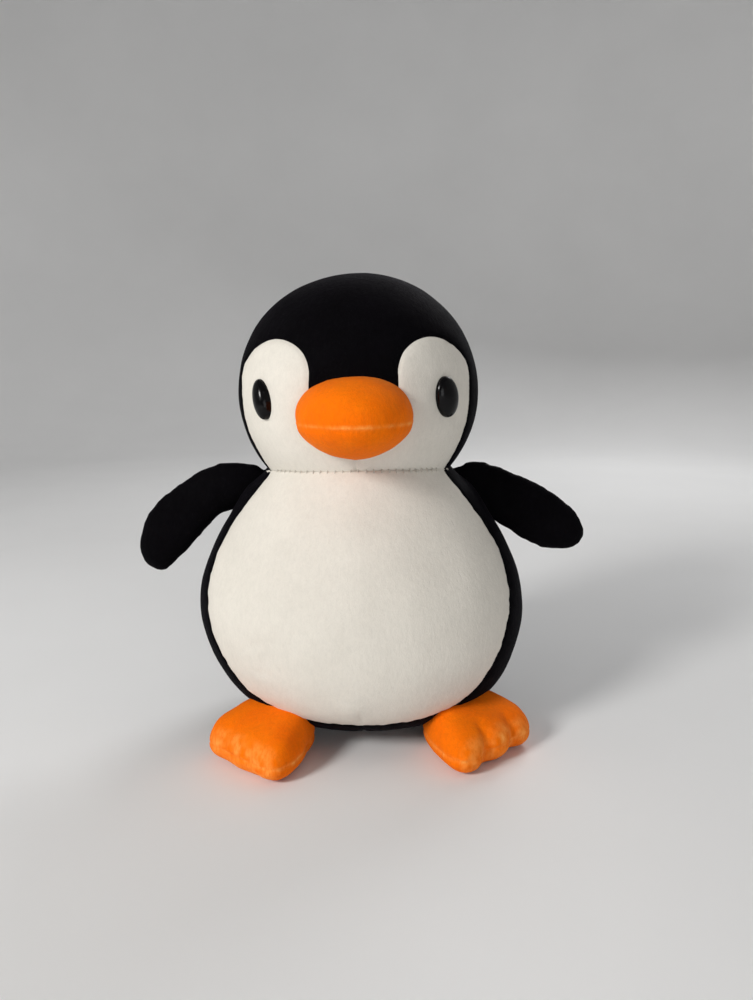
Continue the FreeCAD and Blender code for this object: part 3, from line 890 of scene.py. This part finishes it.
def build_neck_stitches():
    """Ladder stitches between head and belly, proudest on the toy's left. Only the front has them."""
    parts = []
    for i, a in enumerate(np.linspace(-NECK_STITCH_SPAN, NECK_STITCH_SPAN, NECK_STITCHES)):
        front = (1 + math.cos(a)) / 2
        rim_z = RIM_BACK_Z + (RIM_FRONT_Z - RIM_BACK_Z) * front ** 2.5
        rim_r = math.sqrt(CUP_R ** 2 - (HEAD[2] - rim_z) ** 2)
        proud = 1.25 if a > 0.1 else 0.7
        slant = 0.004 * (-1) ** i
        points = []
        for turn, out, up in ((-slant, 0.6, -1.7), (0.0, proud, -0.4), (slant, -0.6, 1.2)):
            r = rim_r + out
            points.append((r * math.sin(a + turn), -r * math.cos(a + turn), rim_z + up))
        parts.append(strand(points, THREAD_R))
    return make_object("neck_stitches", *joined(parts), THREAD_WHITE)


def build_back_stitches():
    """Ladder stitches over the seam down the back, where the stuffing went in."""
    rings = np.array(TORSO)[::-1]
    parts = []
    for z in np.linspace(*CLOSING_Z, CLOSING_STITCHES):
        back = np.interp(z, rings[:, 0], rings[:, 2] - rings[:, 3])
        middle = np.interp(z, rings[:, 0], rings[:, 4])
        half = CLOSING_STITCH / 2
        parts.append(strand([(middle - half, back - 0.9, z - 0.4), (middle, back + 0.2, z),
                             (middle + half, back - 0.9, z + 0.4)], THREAD_R))
    return make_object("back_stitches", *joined(parts), THREAD_BLACK)


def build_wad():
    """The lump of loose fibre squeezed between head and torso."""
    verts, tris = ball_mesh(5)
    angle = math.radians(WAD_ANGLE) * np.hypot(verts[:, 0], verts[:, 1])
    around = np.arctan2(verts[:, 1], verts[:, 0])
    r = WAD_R - verts[:, 2] * WAD_HALF_THICK
    verts = HEAD + np.stack([r * np.sin(angle) * np.cos(around), r * np.sin(angle) * np.sin(around),
                             -r * np.cos(angle)], axis=1)
    tris = facing_out(verts - verts.mean(axis=0), tris)
    return make_object("fibre_wad", lumpy(verts, tris, [(9.0, 0.5), (3.5, 0.2)], 111), tris, FIBRE)


# ---- wings

def wing_pillow(name):
    """A closed flat pillow through the wing's ribs."""
    side = SIDES[name]
    count = 70
    upper, lower = WING[name]
    ribs = smooth_curve([(*a, *b) for a, b in zip(upper, lower)], count=count)
    cols = 48
    sweep = np.linspace(0, math.pi, cols // 2 + 1)
    v = np.concatenate([-np.cos(sweep), np.cos(sweep)[1:-1]])
    face = np.concatenate([-np.ones(cols // 2 + 1), np.ones(cols // 2 - 1)])
    top, bottom = ribs[:, :2], ribs[:, 2:]
    middle, half = (top + bottom) / 2, (top - bottom) / 2
    reach = np.linalg.norm(half, axis=1)
    along = np.linspace(0, 1, count)
    root = 0.35 + 0.65 * np.minimum(1, along / 0.28) ** 0.7
    thick = WING_HALF_THICK * np.minimum(1, reach / 16.5) ** 0.8 * root
    plane = middle[:, None] + half[:, None] * v[None, :, None]
    y = face * thick[:, None] * (1 - v ** 2) ** 0.5
    grid = np.stack([side * plane[..., 0], y, plane[..., 1]], axis=-1)
    return tube(grid.reshape(-1, 3), count, len(v))


def build_wing(name):
    verts, tris = stuffed(*wing_pillow(name), *WING_STUFFING)
    tags = np.zeros(len(tris), int)
    verts[:, 1] = snapped(verts[:, 1], 0.0, 0.4)
    verts, tris, tags = cut_along(verts, tris, tags, -verts[:, 1])
    segments = verts[seam_edges(tris, tags)]
    verts = lumpy(verts, tris, [(22.0, 0.5), (8.0, 0.15)], WING_SEED[name])
    verts = seam_groove(verts, tris, segments, depth=0.35, width=0.8, pull=0.5, pull_width=3.5, seed=81)
    normals = vertex_normals(verts, tris)
    return (panel(f"wing_{name}_front", verts, normals, tris[tags == 1], BLACK),
            panel(f"wing_{name}_back", verts, normals, tris[tags == 0], BLACK))


# ---- feet

def foot_axes(name):
    """The foot's forward and sideways directions, and the middle of its hinge on the floor."""
    side = SIDES[name]
    yaw = math.radians(FOOT_YAW[name])
    forward = np.array([side * math.sin(yaw), -math.cos(yaw), 0.0])
    aside = np.array([side * math.cos(yaw), math.sin(yaw), 0.0])
    return forward, aside, forward * FOOT_HINGE[name] + aside * FOOT_ASIDE[name]


def foot_outline(name):
    """The seam round the foot seen from above, closed, with a notch between neighbouring toes."""
    notch = FOOT_NOTCH[name]
    toes = [(45.2, -14.0), (45.4 - notch, -10.0), (45.7, -5.5), (46.0, 0.0), (45.7, 6.0), (45.3 - notch, 10.5),
            (45.0, 14.5)]
    loop = FOOT_INNER[name] + toes + FOOT_OUTER
    return smooth_curve(loop + loop[:1], 0.8)[:-1]


def rounded(distance, reach):
    """Rises from 0 at an edge to 1 at reach along a quarter circle."""
    return np.sqrt(1 - (1 - np.clip(distance / reach, 0, 1)) ** 2)


def foot_pillow(name):
    """A closed pillow over the outline: a flat sole, rounded edges, and a top that slopes down to the toes."""
    outline = foot_outline(name)
    whole = smooth_curve(FOOT_INNER[name] + FOOT_OUTER + FOOT_INNER[name][:1], 1.5)[:-1]
    heart = np.array([18.0, 0.0])
    steps = np.sin(np.linspace(0, math.pi / 2, 22)[1:])[:, None, None]
    rings = heart + (outline - heart) * steps
    flat = rings.reshape(-1, 2)
    edge = np.maximum(inside_distance(flat, outline), 0)
    broad = np.maximum(inside_distance(flat, whole), 0)
    fall = np.clip((flat[:, 0] - FOOT_SLOPE[0]) / (FOOT_SLOPE[1] - FOOT_SLOPE[0]), 0, 1)
    crest = FOOT_RIDGE + (FOOT_NOSE - FOOT_RIDGE) * fall ** 1.3
    front = np.clip((flat[:, 0] - 30.0) / 13.0, 0, 1) ** 1.5
    crease = sum(np.exp(-((flat[:, 1] - aside) / TOE_GAP_WIDTH) ** 2) for aside in TOE_GAPS)
    upper = FOOT_SEAM_Z + (crest - FOOT_SEAM_Z) * rounded(broad, 12.0) * rounded(edge, 4.0) ** 0.7
    upper = np.maximum(upper - FOOT_CREASE[name] * front * crease, FOOT_SEAM_Z)
    lower = FOOT_SEAM_Z - (FOOT_SEAM_Z - 0.4) * rounded(edge, 8.0)
    cols = len(outline)
    rows = len(steps)
    top = np.column_stack([flat, upper])
    under = np.column_stack([flat, lower]).reshape(rows, cols, 3)[:-1][::-1].reshape(-1, 3)
    verts, tris = tube(np.vstack([top, under]), 2 * rows - 1, cols)
    verts[-2, 2] = top[:cols, 2].max()
    return verts, tris


def build_foot(name):
    """The pillow, stuffed, laid flat on its sole, then cut along its seam into top and sole."""
    verts, tris = stuffed(*foot_pillow(name), *FOOT_STUFFING)
    pressed = SOLE_Z + SOLE_PRESS * (verts[:, 2] - SOLE_Z)
    verts[:, 2] = np.where(verts[:, 2] < SOLE_Z, pressed, verts[:, 2]).clip(0.5)
    tags = np.zeros(len(tris), int)
    verts[:, 2] = snapped(verts[:, 2], FOOT_SEAM_Z, 0.4)
    verts, tris, tags = cut_along(verts, tris, tags, verts[:, 2] - FOOT_SEAM_Z)
    segments = verts[seam_edges(tris, tags)]
    verts = lumpy(verts, tris, [(15.0, 0.5), (6.0, 0.25)], FOOT_SEED[name])
    verts = seam_groove(verts, tris, segments, depth=0.4, width=0.8, pull=0.4, pull_width=2.6, seed=93)
    # Painted sheen along the seam and on the toe tips, where the pile catches the light.
    painted_sheen = seam_painted_sheen(verts, segments, 1.0, 95)
    tips = np.clip((verts[:, 0] - 39.0) / 7.0, 0, 1) * np.clip(0.55 + 0.7 * lattice_noise(verts, 3.5, 97), 0, 1)
    painted_sheen = np.maximum(painted_sheen, tips)
    forward, aside, hinge = foot_axes(name)
    placed = hinge + verts[:, :1] * forward + verts[:, 1:2] * aside + verts[:, 2:] * np.array([0, 0, 1.0])
    placed[:, 2] = placed[:, 2].clip(0.2)
    if np.linalg.det([forward, aside, [0, 0, 1.0]]) < 0:
        tris = tris[:, ::-1]
    normals = vertex_normals(placed, tris)
    return (panel(f"foot_{name}_upper", placed, normals, tris[tags == 1], ORANGE, painted_sheen),
            panel(f"foot_{name}_under", placed, normals, tris[tags == 0], ORANGE, painted_sheen))


# ---- assembly

head = build_head()
beak_upper, beak_lower = build_beak()
torso = build_torso()

stands_for = {
    "crown": ("head_crown", "head_fill"),
    "head_back_left_velvet": ("head_back_left",), "head_back_right_velvet": ("head_back_right",),
    "cheek_left": ("face_left",), "cheek_right": ("face_right",),
}
for name, piece in head.items():
    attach(piece, "head")
    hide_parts(*stands_for[name])
for piece, nodes in ((beak_upper, ("beak_upper", "beak_fill")), (beak_lower, ("beak_lower",))):
    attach(piece, "head")
    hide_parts(*nodes)
for name in SIDES:
    eye = build_eye(name)
    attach(eye, "head")
    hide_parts(f"eye_{name}")
    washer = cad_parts[f"eye_washer_{name}"].data
    washer.materials.clear()
    washer.materials.append(WASHER)
stands_for = {"belly_velvet": ("belly_panel", "body_fill"), "back_left_velvet": ("back_left",),
              "back_right_velvet": ("back_right",)}
for name, piece in torso.items():
    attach(piece, "torso")
    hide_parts(*stands_for[name])
for name, side in SIDES.items():
    front, back = build_wing(name)
    for piece, nodes in ((front, (f"wing_front_{name}", f"wing_fill_{name}", f"wing_root_{name}")),
                         (back, (f"wing_back_{name}",))):
        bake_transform(piece)
        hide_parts(*nodes)
    top, sole = build_foot(name)
    for piece, nodes in ((top, (f"foot_top_{name}", f"foot_fill_{name}")), (sole, (f"foot_sole_{name}",))):
        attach(piece, f"foot_{name}")
        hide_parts(*nodes)
for piece, body, node, slot in ((build_neck_stitches(), "torso", "neck_thread", "thread_white"),
                                (build_back_stitches(), "torso", "closing_thread", "thread_black"),
                                (build_wad(), "neck", "neck_plug", "stuffing")):
    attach(piece, body)
    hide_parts(node)


# ---- stage

def build_stage():
    """A round pale floor that sweeps up into a wall on every side."""
    profile = [(STAGE_FLAT / 2, 0.0), (STAGE_FLAT, 0.0)]
    profile += [(STAGE_FLAT + STAGE_CURVE * math.sin(a), STAGE_CURVE - STAGE_CURVE * math.cos(a))
                for a in np.linspace(0.1, math.pi / 2, 14)]
    profile += [(STAGE_FLAT + STAGE_CURVE, STAGE_TOP)]
    around = np.linspace(0, 2 * math.pi, STAGE_SIDES, endpoint=False)
    verts = np.array([(r * math.cos(a), r * math.sin(a), z) for r, z in profile for a in around]) / MM
    verts, tris = capped(verts, sheet_tris(len(profile), STAGE_SIDES), np.arange(STAGE_SIDES), False)
    material, tree, shader, place = new_material("stage_paper")
    tone = ramp_node(tree, noise_node(tree, place, 3.0), grey(0.78), grey(0.82))
    tree.links.new(tone, shader.inputs["Base Color"])
    shader.inputs["Roughness"].default_value = 0.9
    make_object("sweep", verts, tris, material)


def area_light(name, place, target, size, power, colour=(1, 1, 1)):
    data = bpy.data.lights.new(name, "AREA")
    data.shape = "DISK"
    data.size = size
    data.energy = power
    data.color = colour
    light = bpy.data.objects.new(name, data)
    light.location = place
    light.rotation_euler = (Vector(target) - Vector(place)).to_track_quat("-Z", "Y").to_euler()
    bpy.context.scene.collection.objects.link(light)


def build_lights():
    middle = (0.0, 0.0, 0.13)
    area_light("key", (-0.95, -0.95, 0.80), middle, size=0.4, power=15.5, colour=(1.0, 0.985, 0.96))
    area_light("fill", (0.35, -1.35, 0.22), middle, size=0.8, power=3.2, colour=(0.97, 0.98, 1.0))
    area_light("back", (0.6, 1.2, 1.1), middle, size=0.8, power=9.0)
    world = bpy.data.worlds.new("room")
    world.use_nodes = True
    adjust(world.node_tree.nodes["Background"], {"Color": grey(0.8), "Strength": 0.25})
    bpy.context.scene.world = world


def build_camera():
    pitch = math.radians(CAMERA_PITCH)
    turn = math.radians(CAMERA_TURN)
    look = Vector((-math.sin(turn) * math.cos(pitch), math.cos(turn) * math.cos(pitch), -math.sin(pitch)))
    data = bpy.data.cameras.new("camera")
    data.lens = CAMERA_LENS
    data.sensor_width = 36.0
    data.clip_start = 0.01
    camera = bpy.data.objects.new("camera", data)
    camera.location = CAMERA_PLACE
    upright = look.to_track_quat("-Z", "Y")
    camera.rotation_euler = (Quaternion(look, math.radians(CAMERA_ROLL)) @ upright).to_euler()
    bpy.context.scene.collection.objects.link(camera)
    bpy.context.scene.camera = camera


build_stage()
build_lights()
build_camera()
bpy.context.scene.view_settings.view_transform = "Standard"
